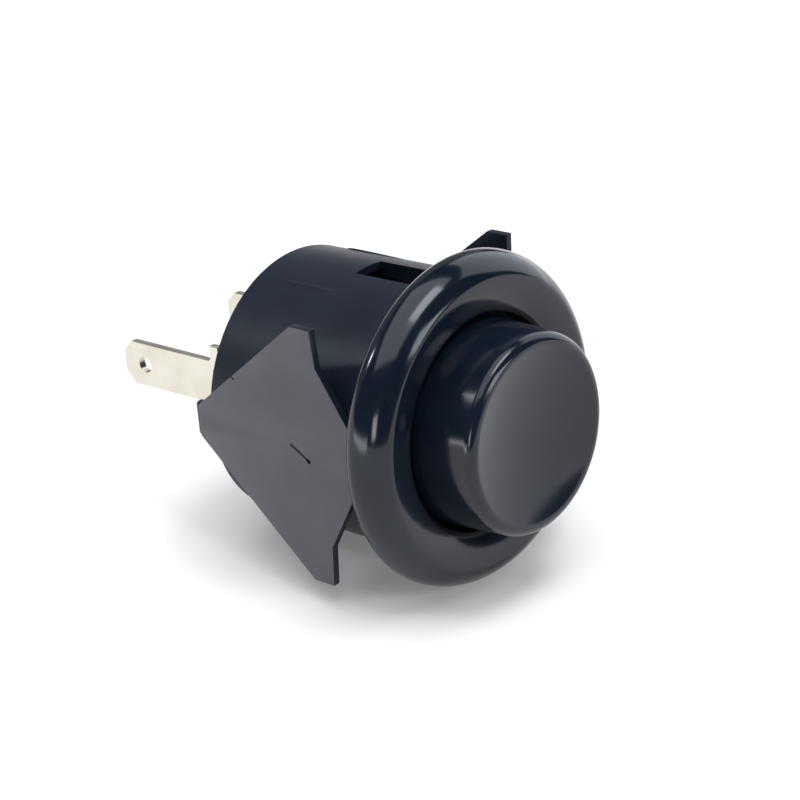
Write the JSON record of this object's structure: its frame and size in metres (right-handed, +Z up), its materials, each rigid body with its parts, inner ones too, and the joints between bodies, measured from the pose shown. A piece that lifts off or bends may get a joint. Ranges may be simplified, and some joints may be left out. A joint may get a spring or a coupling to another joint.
{
  "type": "arcade push button",
  "caption": "Round snap-in arcade push button: dished sprung plunger in a rimmed housing, snap wings that grip the panel, and a bridging switch with push-on blades.",
  "frame": {"origin": "on the button's axis in the plane of the panel's front face, under the rim", "axes": "+Y along the axis to the rear, into the cabinet; the plunger faces -Y; the snap wings stand at -X and +X; +Z is up as it lies in the picture"},
  "size_m": [0.0338, 0.0483, 0.0338],
  "materials": {
    "housing": "moulded black ABS, glossy rim, satin barrel and wings",
    "plunger": "moulded black ABS, glossy",
    "base": "moulded black nylon",
    "terminals": "tinned",
    "bridge": "rolled",
    "contacts": "silver faced",
    "springs": "drawn wire and spring sheet"
  },
  "bodies": {
    "housing_body": {"housing": "housing", "base": "base", "near_terminal": "terminals", "far_terminal": "terminals", "fixed_contacts": "contacts", "return_spring": "springs"},
    "plunger_body": {"plunger": "plunger", "star_washer": "springs", "contact_spring": "springs"},
    "bridge_body": {"contact_bridge": "bridge", "bridge_contacts": "contacts"}
  },
  "joints": [
    {"name": "plunger_press", "type": "slide", "parent": "housing_body", "child": "plunger_body", "axis": [0, 1, 0], "range_m": [0, 0.0035], "stiffness_N_per_m": 171, "springref_m": -0.0035, "deforming": ["return_spring"]},
    {"name": "bridge_lift", "type": "slide", "parent": "plunger_body", "child": "bridge_body", "axis": [0, -1, 0], "range_m": [0, 0.0008], "deforming": ["contact_spring"]}
  ],
  "couplings": [
    {"joint": "bridge_lift", "follows": "plunger_press", "ratio": 0.2285}
  ]
}
